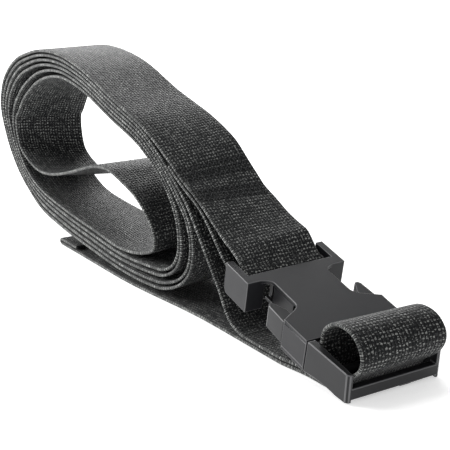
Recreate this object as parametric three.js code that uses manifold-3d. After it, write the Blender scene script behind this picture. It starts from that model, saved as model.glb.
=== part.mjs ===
// Luggage strap: a long charcoal webbing wound into a flat coil, closed by a side-release buckle.
// Units are millimetres. X runs along the strap towards the adjuster end of the buckle, Y across the
// webbing, Z up. The strap lies on the plane z = 0.
import * as THREE from "three";
import * as BufferGeometryUtils from "three/addons/utils/BufferGeometryUtils.js";
import Module from "manifold-3d";

const wasm = await Module();
wasm.setup();

// ---------------------------------------------------------------- driving dimensions
const WEBBING_WIDTH = 38;
const WEBBING_THICKNESS = 1.6;
const PLY_PITCH = 2.05; // distance between the middles of two plies pressed together
const GAP = 0.3; // clearance between pieces that touch
const SOCKET_PITCH_DEG = 16; // slope of the latched buckle, rear end up
const FRAME_PITCH_DEG = 10; // slope of the adjuster frame
const BODY_HEIGHT = 14; // thickness of the socket
const PLATE = 1.6; // thickness of the socket's top and bottom plates
const FRAME_LENGTH = 27; // adjuster frame, seam to end bar
const FRAME_HALF_FRONT = 21.9; // half width of the frame at its end bar
const FRAME_HALF_SEAM = 23.3; // half width of the buckle at the seam
const FRAME_INSIDE = 19.6; // half width of the webbing slots in the frame
const EAR_HALF = 23.9; // half width across the socket's rear ears
const SLOT_HALF = 20.6; // half width of the socket's rear slot
const WAIST_HALF = 13.3; // half width of the plates between the two release windows
const FLARE_REAR = -16; // rear end of the socket's closed mouth
const WAIST_FRONT = -22; // front end of the narrow waist
const WAIST_REAR = -39.5; // rear end of the narrow waist
const WINDOW_REAR = -43; // rear wall of the release windows
const SLOT_FRONT = -48.4; // front edge of the rear slot
const SOCKET_REAR = -60.5; // rear end of the ears
const REAR_BAR_X = -54.5;
const REAR_BAR_HEIGHT = 8.2;
const REAR_BAR_RADIUS = 2.5;
const MIDDLE_BAR_X = 14;
const MIDDLE_BAR_RADIUS = 2.2;
const SEAM_X = -26.6; // seam between plug and socket, at the underside
const SEAM_Z = 4.9;
const TAIL_END_X = -262; // free end of the tail
const COIL_BREAK_X = -74; // where the strap leaves the coil and runs under the buckle
const FEED_BREAK_X = -34; // where it meets the adjuster loop
const OBJECT_MIDDLE_X = -168.41; // the part is centred on this X at the end
const OBJECT_MIDDLE_Y = -1.16;
const FINE_STEP = 0.5; // first sampling of a ply's middle line
const MOST_TURN = 0.13; // a ply's outline bends by at most this, in radians, from point to point
const MOST_RUN = 7; // and has points at least this close

// ---------------------------------------------------------------- how the coil is turned along its length
const smooth = (x, low, high) => THREE.MathUtils.smoothstep(x, low, high);
const bell = (x, middle, half) => {
  const u = Math.min(Math.abs(x - middle) / half, 1);
  return 0.5 + 0.5 * Math.cos(Math.PI * u);
};

// Reads a table of [x, value] pairs, with x falling, at a place x.
function alongTable(table, x) {
  if (x >= table[0][0]) return table[0][1];
  for (let i = 1; i < table.length; i++) {
    if (x >= table[i][0]) {
      const share = (table[i - 1][0] - x) / (table[i - 1][0] - table[i][0]);
      return THREE.MathUtils.lerp(table[i - 1][1], table[i][1], share);
    }
  }
  return table[table.length - 1][1];
}

// Turn of the webbing's width about the vertical, in degrees: a swing at the right-hand bends, and the
// left end turned so that its far edge is nearer the buckle.
const rightSwing = (x) => -5 * bell(x, -146, 58);
const yaw = (x) => THREE.MathUtils.degToRad(rightSwing(x) + 15 * (1 - smooth(x, -325, -225)));

// Height of the top ply's middle.
const topHeights = [
  [-84, 38.5],
  [-99, 45],
  [-108, 50.1],
  [-117.5, 55.2],
  [-127.5, 61.9],
  [-138, 69.9],
  [-158, 80.5],
  [-188, 90],
  [-222, 100.2],
  [-252, 104.4],
  [-281, 103.1],
  [-309, 95.2],
  [-331.2, 79],
  [-339.3, 62.9],
];

// What the top ply leans more than the plies below it, in degrees: it sags on its far side at the sewn
// bands and rises there again towards the rear bar and over the left end.
const topLeans = [
  [-78, 0],
  [-84, 4],
  [-91, 1.5],
  [-99, -2.4],
  [-108, -5.8],
  [-117.5, -7.8],
  [-127.5, -3],
  [-138, 0.6],
  [-158, -0.6],
  [-174, -2],
  [-188, -3.2],
  [-200, -3],
  [-213, -1.5],
  [-228, 0],
  [-244, 0.6],
  [-260, 2.6],
  [-275, 5.1],
  [-291, 7.7],
  [-309, 6.5],
  [-322, 3.5],
  [-332, 0.5],
  [-340, -1],
];

// Lean of the webbing's width out of the level, in radians.
function lean(x, z) {
  const left = 1 - smooth(x, -300, -175);
  const top = alongTable(topHeights, x);
  const deep = smooth(-x, 130, 230);
  const onTop = smooth(z, top - THREE.MathUtils.lerp(14, 50, deep), top - THREE.MathUtils.lerp(5, 20, deep));
  const base = 4.5 * bell(x, -128, 42) - 7 * left;
  return THREE.MathUtils.degToRad(base + alongTable(topLeans, x) * onTop);
}

// Sideways shift of the webbing's middle line: it follows the swing at the right-hand bends, and the
// lengths on the ground lie a little towards the near side.
const SHIFT_STEP = 1;
const shiftTable = [0];
for (let x = -86; x > -350; x -= SHIFT_STEP) {
  const slope = Math.tan(THREE.MathUtils.degToRad(rightSwing(x)));
  shiftTable.push(shiftTable[shiftTable.length - 1] + SHIFT_STEP * slope);
}
const groundShift = (x, z) => -2 * smooth(-x, 28, 50) * (1 - smooth(z, 3, 20));
function sideShift(x, z) {
  const u = Math.min(Math.max((-86 - x) / SHIFT_STEP, 0), shiftTable.length - 2);
  const i = Math.floor(u);
  const swing = THREE.MathUtils.lerp(shiftTable[i], shiftTable[i + 1], u - i);
  return swing - (1 - smooth(x, -325, -235)) + groundShift(x, z);
}

// Places a point of the side view (x, z) at distance w across the webbing.
function turned(x, w, z) {
  const rise = smooth(z, 1, 22);
  return new THREE.Vector3(
    x + w * Math.sin(yaw(x)),
    sideShift(x, z) + w * Math.cos(yaw(x)),
    z + w * Math.sin(lean(x, z)) * rise,
  );
}

// ---------------------------------------------------------------- solids
function toManifold(geometry) {
  const bare = geometry.clone();
  bare.deleteAttribute("normal");
  bare.deleteAttribute("uv");
  const merged = BufferGeometryUtils.mergeVertices(bare, 1e-4);
  return new wasm.Manifold(
    new wasm.Mesh({
      numProp: 3,
      vertProperties: new Float32Array(merged.attributes.position.array),
      triVerts: new Uint32Array(merged.index.array),
    }),
  );
}

function toGeometry(solid) {
  const mesh = solid.getMesh();
  const geometry = new THREE.BufferGeometry();
  const positions = new Float32Array(mesh.numVert * 3);
  for (let i = 0; i < mesh.numVert; i++) {
    positions.set(mesh.vertProperties.subarray(i * mesh.numProp, i * mesh.numProp + 3), i * 3);
  }
  geometry.setAttribute("position", new THREE.BufferAttribute(positions, 3));
  geometry.setIndex(new THREE.BufferAttribute(new Uint32Array(mesh.triVerts), 1));
  geometry.computeVertexNormals();
  return geometry;
}

const materials = {
  webbing: { color: 0x35373a, roughness: 0.85, metalness: 0 },
  thread: { color: 0x222326, roughness: 0.7, metalness: 0 },
  socket: { color: 0x3c3d42, roughness: 0.5, metalness: 0 },
  plug: { color: 0x3a3b40, roughness: 0.5, metalness: 0 },
};

function named(name, geometry, finish) {
  const mesh = new THREE.Mesh(geometry, new THREE.MeshStandardMaterial(materials[finish]));
  mesh.name = name;
  return mesh;
}

// A box given by its low and high corners.
function box(low, high) {
  const size = high.map((v, i) => v - low[i]);
  const geometry = new THREE.BoxGeometry(...size);
  geometry.translate(...low.map((v, i) => v + size[i] / 2));
  return toManifold(geometry);
}

// A bar across Y.
function crossBar(x, z, radius, halfLength) {
  const geometry = new THREE.CylinderGeometry(radius, radius, 2 * halfLength, 24);
  geometry.translate(x, 0, z);
  return toManifold(geometry);
}

// A plate: a closed plan outline of [x, y] points between two heights.
function plate(outline, low, high) {
  const shape = new THREE.Shape(outline.map(([x, y]) => new THREE.Vector2(x, y)));
  const geometry = new THREE.ExtrudeGeometry(shape, {
    depth: high - low,
    bevelEnabled: false,
    curveSegments: 8,
  });
  geometry.translate(0, 0, low);
  return toManifold(geometry);
}

// The same outline on both sides of the middle plane: half points run along +Y only.
function bothSides(half) {
  const other = half
    .slice()
    .reverse()
    .map(([x, y]) => [x, -y]);
  return half.concat(other);
}

// ---------------------------------------------------------------- webbing
// The middle line of a ply in the side view: a smooth curve through hand-placed points, sampled
// finely where it bends.
function middleLine(points) {
  const curve = new THREE.CatmullRomCurve3(
    points.map(([x, z]) => new THREE.Vector3(x, 0, z)),
    false,
    "centripetal",
  );
  const fine = curve.getSpacedPoints(Math.ceil(curve.getLength() / FINE_STEP));
  const line = [fine[0]];
  let turn = 0;
  let run = 0;
  for (let i = 1; i < fine.length - 1; i++) {
    const before = fine[i].clone().sub(fine[i - 1]);
    const after = fine[i + 1].clone().sub(fine[i]);
    turn += before.angleTo(after);
    run += before.length();
    if (turn > MOST_TURN || run > MOST_RUN) {
      line.push(fine[i]);
      turn = 0;
      run = 0;
    }
  }
  line.push(fine[fine.length - 1]);
  return line;
}

// A closed side-view outline around a middle line.
function ribbonOutline(line, thickness) {
  const half = thickness / 2;
  const left = [];
  const right = [];
  line.forEach((point, i) => {
    const before = line[Math.max(i - 1, 0)];
    const after = line[Math.min(i + 1, line.length - 1)];
    const along = after.clone().sub(before).normalize();
    left.push([point.x - along.z * half, point.z + along.x * half]);
    right.push([point.x + along.z * half, point.z - along.x * half]);
  });
  return left.concat(right.reverse());
}

// A ribbon of webbing: the outline extruded across the width, then laid where the strap really runs.
function ribbon(points, place = turned, width = WEBBING_WIDTH, thickness = WEBBING_THICKNESS) {
  const outline = ribbonOutline(middleLine(points), thickness);
  const shape = new THREE.Shape(outline.map(([x, z]) => new THREE.Vector2(x, z)));
  const geometry = new THREE.ExtrudeGeometry(shape, { depth: width, bevelEnabled: false });
  const position = geometry.attributes.position;
  for (let i = 0; i < position.count; i++) {
    const w = width / 2 - position.getZ(i);
    const point = place(position.getX(i), w, position.getY(i));
    position.setXYZ(i, point.x, point.y, point.z);
  }
  return toGeometry(toManifold(geometry));
}

// Places around the coil, walking from the top right over the left end and back along the bottom.
// Each holds the outermost ply's middle, the direction towards the coil's inside, and how deep each
// ply lies, outermost first. At the first place the sewn end lies under the outermost ply.
const PRESSED = [0, 2.05, 4.1, 6.15, 8.2, 10.25];
const stations = [
  { at: [-138, 69.9], inward: [-0.6, -0.8], depths: [0, 4.1, 6.15, 8.2, 10.25, 12.3] },
  { at: [-158, 80.5], inward: [-0.42, -0.91], depths: PRESSED },
  { at: [-188, 90], inward: [-0.25, -0.97], depths: PRESSED },
  { at: [-222, 100.2], inward: [-0.16, -0.99], depths: [0, 2.05, 4.1, 6.15, 8.25, 10.4] },
  { at: [-252, 104.4], inward: [0, -1], depths: [0, 2.2, 4.6, 7, 9.3, 12.2] },
  { at: [-281, 103.1], inward: [0.17, -0.985], depths: [0, 2.4, 5, 7.8, 12, 16.4] },
  { at: [-309, 95.2], inward: [0.45, -0.89], depths: [0, 2.8, 5.8, 9.3, 16.3, 21.6] },
  { at: [-331.2, 79], inward: [0.78, -0.62], depths: [0, 3.4, 7.2, 11, 18.5, 24.3] },
  { at: [-339.3, 62.9], inward: [1, -0.05], depths: [0, 3.6, 7.6, 11.8, 19.6, 24.2] },
  { at: [-335.3, 48.3], inward: [0.96, 0.28], depths: [0, 3.1, 6.4, 9.8, 14.6, 19.4] },
  { at: [-326.6, 35.1], inward: [0.85, 0.53], depths: [0, 2.6, 5.4, 8.2, 11.4, 15.2] },
  { at: [-313.3, 23.6], inward: [0.62, 0.78], depths: [0, 2.3, 4.7, 7.1, 9.6] },
  { at: [-293, 14.6], inward: [0.35, 0.94], depths: [0, 2.2, 4.5, 6.8, 9.1] },
  { at: [-258, 9.6], inward: [0.13, 0.99], depths: [0, 2.2, 4.6, 6.8, 9.2] },
  { at: [-218, 6.9], inward: [0.08, 1], depths: [0, 2.3, 4.9, 7.2, 9.8] },
  { at: [-186, 5.2], inward: [0.03, 1], depths: [0, 2.4, 5.1, 7.5, 10.2] },
  { at: [-160, 4.8], inward: [0, 1], depths: [0, 2.7, 6, 8.7, 12] },
];

// The right-hand bends of the coil, outermost first, walking upwards.
const rightStations = [
  { at: [-146, 6], inward: [-0.15, 0.99], depths: [0, 2.8, 6.4, 9.2] },
  { at: [-132.5, 11.8], inward: [-0.66, 0.75], depths: [0, 2.6, 8, 10.6] },
  { at: [-123.5, 21.8], inward: [-0.9, 0.43], depths: [0, 2.4, 9.6, 12] },
  { at: [-120.3, 33.3], inward: [-1, 0.05], depths: [0, 2.3, 10.4, 12.7] },
  { at: [-123.2, 45], inward: [-0.93, -0.37], depths: [0, 2.2, 8.8, 11] },
  { at: [-131, 54.4], inward: [-0.78, -0.63], depths: [0, 2.1, 5.4, 7.5] },
];

function lane(station, k) {
  const depth = station.depths[k];
  return [station.at[0] + station.inward[0] * depth, station.at[1] + station.inward[1] * depth];
}

// The whole wound strap from its sewn end, round the socket's rear bar and through the coil, to the
// run under the buckle.
const around = (k) => stations.map((station) => lane(station, k));
const rightBend = (k) => rightStations.map((station) => lane(station, k));
const topJoin = 2; // the plies of one right-hand bend return two places further in

const barAngle = THREE.MathUtils.degToRad(SOCKET_PITCH_DEG);
function socketPoint(x, h) {
  return [
    SEAM_X + x * Math.cos(barAngle) + h * Math.sin(barAngle),
    SEAM_Z - x * Math.sin(barAngle) + h * Math.cos(barAngle),
  ];
}
const [barX, barZ] = socketPoint(REAR_BAR_X, REAR_BAR_HEIGHT);
const WRAP_RADIUS = REAR_BAR_RADIUS + GAP + 0.25 + WEBBING_THICKNESS / 2;
const wrap = (degrees) => {
  const a = THREE.MathUtils.degToRad(degrees);
  return [barX + WRAP_RADIUS * Math.cos(a), barZ + WRAP_RADIUS * Math.sin(a)];
};

const sewnEnd = [
  [-137.4, 66.7],
  [-132, 62.4],
  [-127, 58.7],
  [-119.2, 53.2],
  [-110.5, 48],
  [-103, 41.6],
  [-96, 35],
  [-89, 29.6],
  [-82, 27.6],
];
const overTheBar = [265, 315, 0, 40, 80].map(wrap);
const topPly = [
  [-84, 38.5],
  [-91, 41.3],
  [-99, 45],
  [-108, 50.1],
  [-117.5, 55.2],
  [-127.5, 61.9],
];
const innerStrip = [
  [-300.5, 36.2],
  [-287.5, 33.6],
  [-272, 34.9],
  [-251, 40.2],
  [-231, 46.5],
  [-214.7, 51.2],
  [-196, 53.3],
  [-182.6, 50.3],
  [-170.5, 45.9],
  [-160, 38.2],
  [-154.6, 30],
  [-155.6, 23.2],
  [-165, 18.4],
];
const lowerPlyToBuckle = [
  [-133.2, 60],
  [-126.5, 53.6],
  [-120, 46.3],
  [-113.6, 37.8],
  [-107.2, 28.8],
  [-100.8, 20.2],
  [-94, 12.4],
  [-86.6, 6.2],
  [-79, 3.4],
  [COIL_BREAK_X, 2.95],
];

const half = stations.length;
const reversed = (k) => around(k).slice().reverse();
const leftTurn = (k) => stations.slice(7, 11).map((station) => lane(station, k));
const coil = [
  ...sewnEnd,
  ...overTheBar,
  ...topPly,
  ...around(0),
  ...rightBend(0),
  ...around(topJoin),
  ...rightBend(2),
  ...around(2 * topJoin).slice(0, half - 1),
  ...innerStrip.slice().reverse(),
  ...leftTurn(5).reverse(),
  ...stations
    .slice(0, 7)
    .reverse()
    .map((station) => lane(station, 5)),
  ...rightBend(3).reverse(),
  ...reversed(3),
  ...rightBend(1).reverse(),
  ...reversed(1),
  ...lowerPlyToBuckle,
];
const coilPart = ribbon(coil);

// The tail lies on the ground under the coil, and its end is folded over and sewn.
const TAIL_Z = WEBBING_THICKNESS / 2;
const HEM_LENGTH = 21;
const HEM_Z = TAIL_Z + WEBBING_THICKNESS + 0.5;
const HEM_BEND = (HEM_Z - TAIL_Z) / 2;
const tail = ribbon([
  [COIL_BREAK_X, TAIL_Z],
  [-120, TAIL_Z],
  [-180, TAIL_Z],
  [-236, TAIL_Z],
  [TAIL_END_X + 5, TAIL_Z],
  [TAIL_END_X + 2.2, TAIL_Z + 0.04],
  [TAIL_END_X + 1.1, TAIL_Z + 0.4],
  [TAIL_END_X + 0.8, TAIL_Z + HEM_BEND],
  [TAIL_END_X + 1.1, HEM_Z - 0.3],
  [TAIL_END_X + 2.2, HEM_Z],
  [TAIL_END_X + 5, HEM_Z],
  [TAIL_END_X + HEM_LENGTH, HEM_Z],
]);

// ---------------------------------------------------------------- strap at the adjuster
// The loop stands over the frame a little turned, and runs square through the slots.
const LOOP_YAW_DEG = 4;
function loopPlace(x, w, z) {
  const angle = THREE.MathUtils.degToRad(LOOP_YAW_DEG) * smooth(z, 12, 24);
  return new THREE.Vector3(x + w * Math.sin(angle), groundShift(x, z) + w * Math.cos(angle), z);
}
const underBuckle = (x, w, z) => new THREE.Vector3(x, groundShift(x, z) + w, z);
const UPPER_Z = 2.95;
const feedUpper = ribbon(
  [
    [COIL_BREAK_X + GAP, UPPER_Z],
    [-54, UPPER_Z - 0.1],
    [FEED_BREAK_X - GAP, UPPER_Z],
  ],
  underBuckle,
);
const feedLower = ribbon(
  [
    [COIL_BREAK_X + GAP, TAIL_Z],
    [-54, TAIL_Z],
    [FEED_BREAK_X - GAP, TAIL_Z],
  ],
  underBuckle,
);
const adjusterLoop = ribbon(
  [
    [FEED_BREAK_X, UPPER_Z],
    [-28.5, 3.05],
    [-23.7, 4.1],
    [-20.7, 7.4],
    [-19.5, 12.4],
    [-19.2, 18],
    [-16.1, 23.7],
    [-10.7, 27.2],
    [-4.9, 28.1],
    [1.4, 26.8],
    [5.6, 22.9],
    [6.4, 18.4],
    [4.2, 14],
    [0.4, 10.9],
    [-4, 8.2],
    [-6.6, 5.6],
    [-7.8, 3],
    [-10.8, 1.4],
    [-16, TAIL_Z + 0.08],
    [-24, TAIL_Z],
    [FEED_BREAK_X, TAIL_Z],
  ],
  loopPlace,
);

// ---------------------------------------------------------------- socket
// Rear edge of the closed mouth, from its side to the waist.
const flareEdge = [
  [FLARE_REAR + 0.5, FRAME_HALF_SEAM + 0.1],
  [FLARE_REAR, FRAME_HALF_SEAM - 0.4],
  [FLARE_REAR - 1.6, FRAME_HALF_SEAM - 3],
  [FLARE_REAR - 3.2, FRAME_HALF_SEAM - 6],
  [FLARE_REAR - 4.7, WAIST_HALF + 1.8],
  [WAIST_FRONT - 0.2, WAIST_HALF + 0.5],
  [WAIST_FRONT - 1.8, WAIST_HALF],
];

function buildSocket() {
  const mouthOutline = bothSides([
    [-0.3, FRAME_HALF_SEAM],
    ...flareEdge,
    [WAIST_REAR, WAIST_HALF],
    [WAIST_REAR - 1.2, WAIST_HALF + 0.4],
    [WAIST_REAR - 2.3, WAIST_HALF + 1.5],
    [WINDOW_REAR + 0.5, WAIST_HALF + 2.9],
    [WINDOW_REAR, WAIST_HALF + 4.6],
    [WINDOW_REAR, EAR_HALF],
    [SLOT_FRONT, EAR_HALF],
  ]);
  const lowerOutline = bothSides([
    [-0.3, FRAME_HALF_SEAM],
    ...flareEdge,
    [WAIST_REAR + 1, WAIST_HALF],
    [WINDOW_REAR, WAIST_HALF - 2.5],
    [SLOT_FRONT, WAIST_HALF - 2.5],
  ]);
  let body = plate(mouthOutline, BODY_HEIGHT - PLATE, BODY_HEIGHT);
  body = body.add(plate(lowerOutline, 0, PLATE));
  for (const side of [-1, 1]) {
    // closed side wall of the mouth, with the catch behind it
    const wallInner = FRAME_HALF_SEAM - 2.2;
    const wall = [
      [-0.3, side * wallInner],
      [-0.3, side * FRAME_HALF_SEAM],
      [FLARE_REAR, side * (FRAME_HALF_SEAM + 0.1)],
      [FLARE_REAR, side * (wallInner - 0.8)],
      [FLARE_REAR + 3, side * wallInner],
    ];
    body = body.add(plate(side > 0 ? wall.slice().reverse() : wall, 0, BODY_HEIGHT));
    // side wall of the waist, which guides the tongue
    body = body.add(
      box(
        [WAIST_REAR, Math.min(side * 11.6, side * (WAIST_HALF - 0.2)), PLATE - 0.4],
        [WAIST_FRONT - 3, Math.max(side * 11.6, side * (WAIST_HALF - 0.2)), BODY_HEIGHT - PLATE + 0.4],
      ),
    );
    // rear ear with the window's rear wall
    body = body.add(
      box(
        [SOCKET_REAR, Math.min(side * SLOT_HALF, side * EAR_HALF), 0],
        [WINDOW_REAR, Math.max(side * SLOT_HALF, side * EAR_HALF), BODY_HEIGHT],
      ),
    );
    body = body.add(
      box(
        [SLOT_FRONT, Math.min(side * 15.5, side * EAR_HALF), 0],
        [WINDOW_REAR, Math.max(side * 15.5, side * EAR_HALF), BODY_HEIGHT],
      ),
    );
  }
  // wall between the cavity and the rear slot
  body = body.add(
    box([SLOT_FRONT, -16, BODY_HEIGHT - 5.2], [SLOT_FRONT + 2, 16, BODY_HEIGHT]),
  );
  body = body.add(box([SLOT_FRONT, -9, 0], [SLOT_FRONT + 2, 9, BODY_HEIGHT]));
  body = body.add(crossBar(REAR_BAR_X, REAR_BAR_HEIGHT, REAR_BAR_RADIUS, SLOT_HALF + 1));
  // ears are cut back at their lower rear corner
  const cut = new THREE.BoxGeometry(8, 60, 8);
  cut.rotateY(THREE.MathUtils.degToRad(-32));
  cut.translate(SOCKET_REAR - 2.4, 0, -1.6);
  body = body.subtract(toManifold(cut));
  return toGeometry(body);
}

// ---------------------------------------------------------------- plug with its adjuster frame
const FRAME_TILT_DEG = SOCKET_PITCH_DEG - FRAME_PITCH_DEG;
function buildPlug() {
  const frame = new THREE.Group();
  frame.rotation.y = THREE.MathUtils.degToRad(-FRAME_TILT_DEG);
  frame.updateMatrixWorld(true);
  const tilt = (solid) => {
    const geometry = toGeometry(solid);
    geometry.applyMatrix4(frame.matrixWorld);
    return toManifold(geometry);
  };
  const frontHeight = 12;
  const wallHalf = (x) => THREE.MathUtils.lerp(FRAME_HALF_SEAM, FRAME_HALF_FRONT, x / FRAME_LENGTH);
  let outer;
  for (const side of [-1, 1]) {
    const outline = [
      [-1, side * FRAME_INSIDE],
      [-1, side * wallHalf(0)],
      [FRAME_LENGTH - 1.2, side * wallHalf(FRAME_LENGTH - 1)],
      [FRAME_LENGTH, side * (wallHalf(FRAME_LENGTH) - 1.1)],
      [FRAME_LENGTH, side * FRAME_INSIDE],
    ];
    const wall = plate(side > 0 ? outline.slice().reverse() : outline, 0, BODY_HEIGHT);
    outer = outer ? outer.add(wall) : wall;
  }
  // base wall behind the rear slot, end bar and middle bar
  outer = outer.add(box([-1, -FRAME_INSIDE - 1, 3.2], [3, FRAME_INSIDE + 1, BODY_HEIGHT - 1.2]));
  outer = outer.add(box([23.5, -FRAME_INSIDE - 1, 1.2], [FRAME_LENGTH, FRAME_INSIDE + 1, 6]));
  outer = outer.add(box([23.9, 3, 0.5], [26.5, 8.5, 1.6]));
  outer = outer.add(crossBar(MIDDLE_BAR_X, 5.4, MIDDLE_BAR_RADIUS, FRAME_INSIDE + 1));
  // the side walls get lower towards the front
  const slope = new THREE.BoxGeometry(40, 60, 10);
  slope.rotateY(Math.atan2(BODY_HEIGHT - frontHeight, FRAME_LENGTH));
  slope.translate(FRAME_LENGTH / 2, 0, (BODY_HEIGHT + frontHeight) / 2 + 5.02);
  outer = outer.subtract(toManifold(slope));
  const belly = new THREE.CylinderGeometry(60, 60, 60, 96);
  belly.translate(10.5, 0, -59.2);
  outer = outer.subtract(toManifold(belly));
  // the seam face is square to the socket
  let body = tilt(outer).subtract(box([-20, -40, -20], [GAP, 40, 40]));
  // tongue that slides between the socket's rails
  const tongue = bothSides([
    [1.5, 9.5],
    [-14, 9.5],
    [-17.5, 5.4],
    [-38, 5.2],
    [-41, 3.2],
  ]);
  body = body.add(plate(tongue, 4.6, 9.4));
  // roots of the two flexing arms
  for (const side of [-1, 1]) {
    body = body.add(
      box(
        [0.2, Math.min(side * 17, side * 20.4), 3.4],
        [2.4, Math.max(side * 17, side * 20.4), 10.6],
      ),
    );
  }
  return toGeometry(body);
}

// A release arm: a thin beam from the plug's base and a thick head that fills the window.
function buildArm(side) {
  const beam = [
    [-0.1, 17.4],
    [-0.1, 20],
    [-16.3, 20],
    [-16.3, 17.2],
  ];
  const head = [
    [-16, 16.8],
    [-16.3, 22.7],
    [-17.2, 23],
    [-28.6, 22.5],
    [-30, 21.6],
    [-30, 20.2],
    [-24, 17.2],
  ];
  const flip = (outline) =>
    side > 0 ? outline.map(([x, y]) => [x, y]) : outline.map(([x, y]) => [x, -y]).reverse();
  let arm = plate(flip(beam), 3.4, 10.6);
  arm = arm.add(plate(flip(head), 2.1, BODY_HEIGHT - PLATE - GAP));
  return toGeometry(arm);
}

// ---------------------------------------------------------------- stitching
const THREAD = 0.35; // thickness of a thread lying on the webbing
const THREAD_LIFT = WEBBING_THICKNESS / 2 + 0.38;
const SEAM_HALF = 17; // the rows stop short of the selvedges

// Middle and slope of the strap's top ply at a place x, found along its middle line.
const coilLine = middleLine(coil);
const FIRST_TOP_POINT = coilLine.findIndex((point) => point.x > barX + 1 && point.z > barZ);
function topPlyAt(x) {
  let i = FIRST_TOP_POINT;
  while (coilLine[i + 1].x > x) i++;
  const from = coilLine[i];
  const to = coilLine[i + 1];
  const share = (from.x - x) / (from.x - to.x);
  return { z: THREE.MathUtils.lerp(from.z, to.z, share), slope: Math.atan2(from.z - to.z, from.x - to.x) };
}

// A row of thread: a flat zigzag laid on a ply.
function stitchRow(x, z, slope, reach, teeth) {
  const upper = [];
  const lower = [];
  for (let i = 0; i <= teeth; i++) {
    const w = -SEAM_HALF + (2 * SEAM_HALF * i) / teeth;
    const along = i % 2 ? reach : -reach;
    upper.push(new THREE.Vector2(w, along + THREAD));
    lower.push(new THREE.Vector2(w, along - THREAD));
  }
  const shape = new THREE.Shape(upper.concat(lower.reverse()));
  const geometry = new THREE.ExtrudeGeometry(shape, { depth: THREAD, bevelEnabled: false });
  const position = geometry.attributes.position;
  for (let i = 0; i < position.count; i++) {
    const along = position.getY(i);
    const up = THREAD_LIFT + THREAD - position.getZ(i);
    const point = turned(
      x + along * Math.cos(slope) - up * Math.sin(slope),
      position.getX(i),
      z + along * Math.sin(slope) + up * Math.cos(slope),
    );
    position.setXYZ(i, point.x, point.y, point.z);
  }
  return toGeometry(toManifold(geometry));
}

// ---------------------------------------------------------------- assembly
const strap = new THREE.Group();
strap.name = "luggage_strap";
const webbing = new THREE.Group();
webbing.add(named("webbing_coil", coilPart, "webbing"));
webbing.add(named("webbing_tail", tail, "webbing"));
webbing.add(named("webbing_feed_upper", feedUpper, "webbing"));
webbing.add(named("webbing_feed_lower", feedLower, "webbing"));
webbing.add(named("webbing_adjuster_loop", adjusterLoop, "webbing"));
strap.add(webbing);

// Two bands of zigzag rows hold the strap's end, and two rows hold the hem of the tail.
const thread = new THREE.Group();
const BAND_ROWS = [-112.6, -115.2, -117.8, -125.4, -128, -130.6];
BAND_ROWS.forEach((x, i) => {
  const { z, slope } = topPlyAt(x);
  thread.add(named(`end_stitch_${i + 1}`, stitchRow(x, z, slope, 0.9, 24), "thread"));
});
[TAIL_END_X + HEM_LENGTH - 3, TAIL_END_X + HEM_LENGTH - 8].forEach((x, i) => {
  thread.add(named(`hem_stitch_${i + 1}`, stitchRow(x, HEM_Z, 0, 0.8, 24), "thread"));
});
strap.add(thread);

const buckle = new THREE.Group();
buckle.position.set(SEAM_X, 0, SEAM_Z);
buckle.rotation.y = barAngle;
buckle.add(named("socket_housing", buildSocket(), "socket"));
buckle.add(named("plug_frame", buildPlug(), "plug"));
buckle.add(named("release_arm_near", buildArm(-1), "plug"));
buckle.add(named("release_arm_far", buildArm(1), "plug"));
strap.add(buckle);

strap.position.set(-OBJECT_MIDDLE_X, -OBJECT_MIDDLE_Y, 0);

export default strap;
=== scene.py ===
"""Looks of a luggage strap: charcoal webbing wound into a flat coil, with a side-release buckle.

Lengths in the dataclasses are millimetres in the strap's own side view: X runs along the strap towards
the buckle's adjuster end, Z is up from the ground, and the distance across the webbing is w. Shapes are
turned into metres in the shared frame when their meshes are made.
"""

import logging
import math
from dataclasses import dataclass, field
from enum import Enum

import bmesh
import bpy
import numpy as np
from mathutils import Matrix, Vector


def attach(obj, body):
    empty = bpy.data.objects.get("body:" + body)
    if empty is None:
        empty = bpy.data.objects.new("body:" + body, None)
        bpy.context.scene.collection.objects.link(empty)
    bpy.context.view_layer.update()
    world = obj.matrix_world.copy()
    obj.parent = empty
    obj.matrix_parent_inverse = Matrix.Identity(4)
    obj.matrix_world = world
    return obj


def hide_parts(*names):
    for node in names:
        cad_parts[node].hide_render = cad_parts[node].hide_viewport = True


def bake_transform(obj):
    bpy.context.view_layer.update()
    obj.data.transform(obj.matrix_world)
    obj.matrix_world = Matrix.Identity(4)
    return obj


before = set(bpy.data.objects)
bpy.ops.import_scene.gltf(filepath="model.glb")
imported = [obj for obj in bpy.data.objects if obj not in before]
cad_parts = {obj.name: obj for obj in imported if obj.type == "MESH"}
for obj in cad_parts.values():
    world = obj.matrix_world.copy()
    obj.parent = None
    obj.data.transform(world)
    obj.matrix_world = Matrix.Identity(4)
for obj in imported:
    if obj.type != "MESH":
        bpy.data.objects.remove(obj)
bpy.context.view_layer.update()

log = logging.getLogger("luggage_strap")

MILLIMETRE = 0.001
FRAME_SHIFT = np.array([168.41, 1.16, 0.0])
PRESSED = (0, 2.05, 4.1, 6.15, 8.2, 10.25)


def smoothstep(value: np.ndarray, low: float, high: float) -> np.ndarray:
    """Rises smoothly from 0 at low to 1 at high.

    Args:
        value: Where to read the curve.
        low: Where it leaves 0.
        high: Where it reaches 1.

    Returns:
        The curve's height at each value.
    """
    t = np.clip((value - low) / (high - low), 0.0, 1.0)
    return t * t * (3.0 - 2.0 * t)


# ------------------------------------------------------------------ curves


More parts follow.
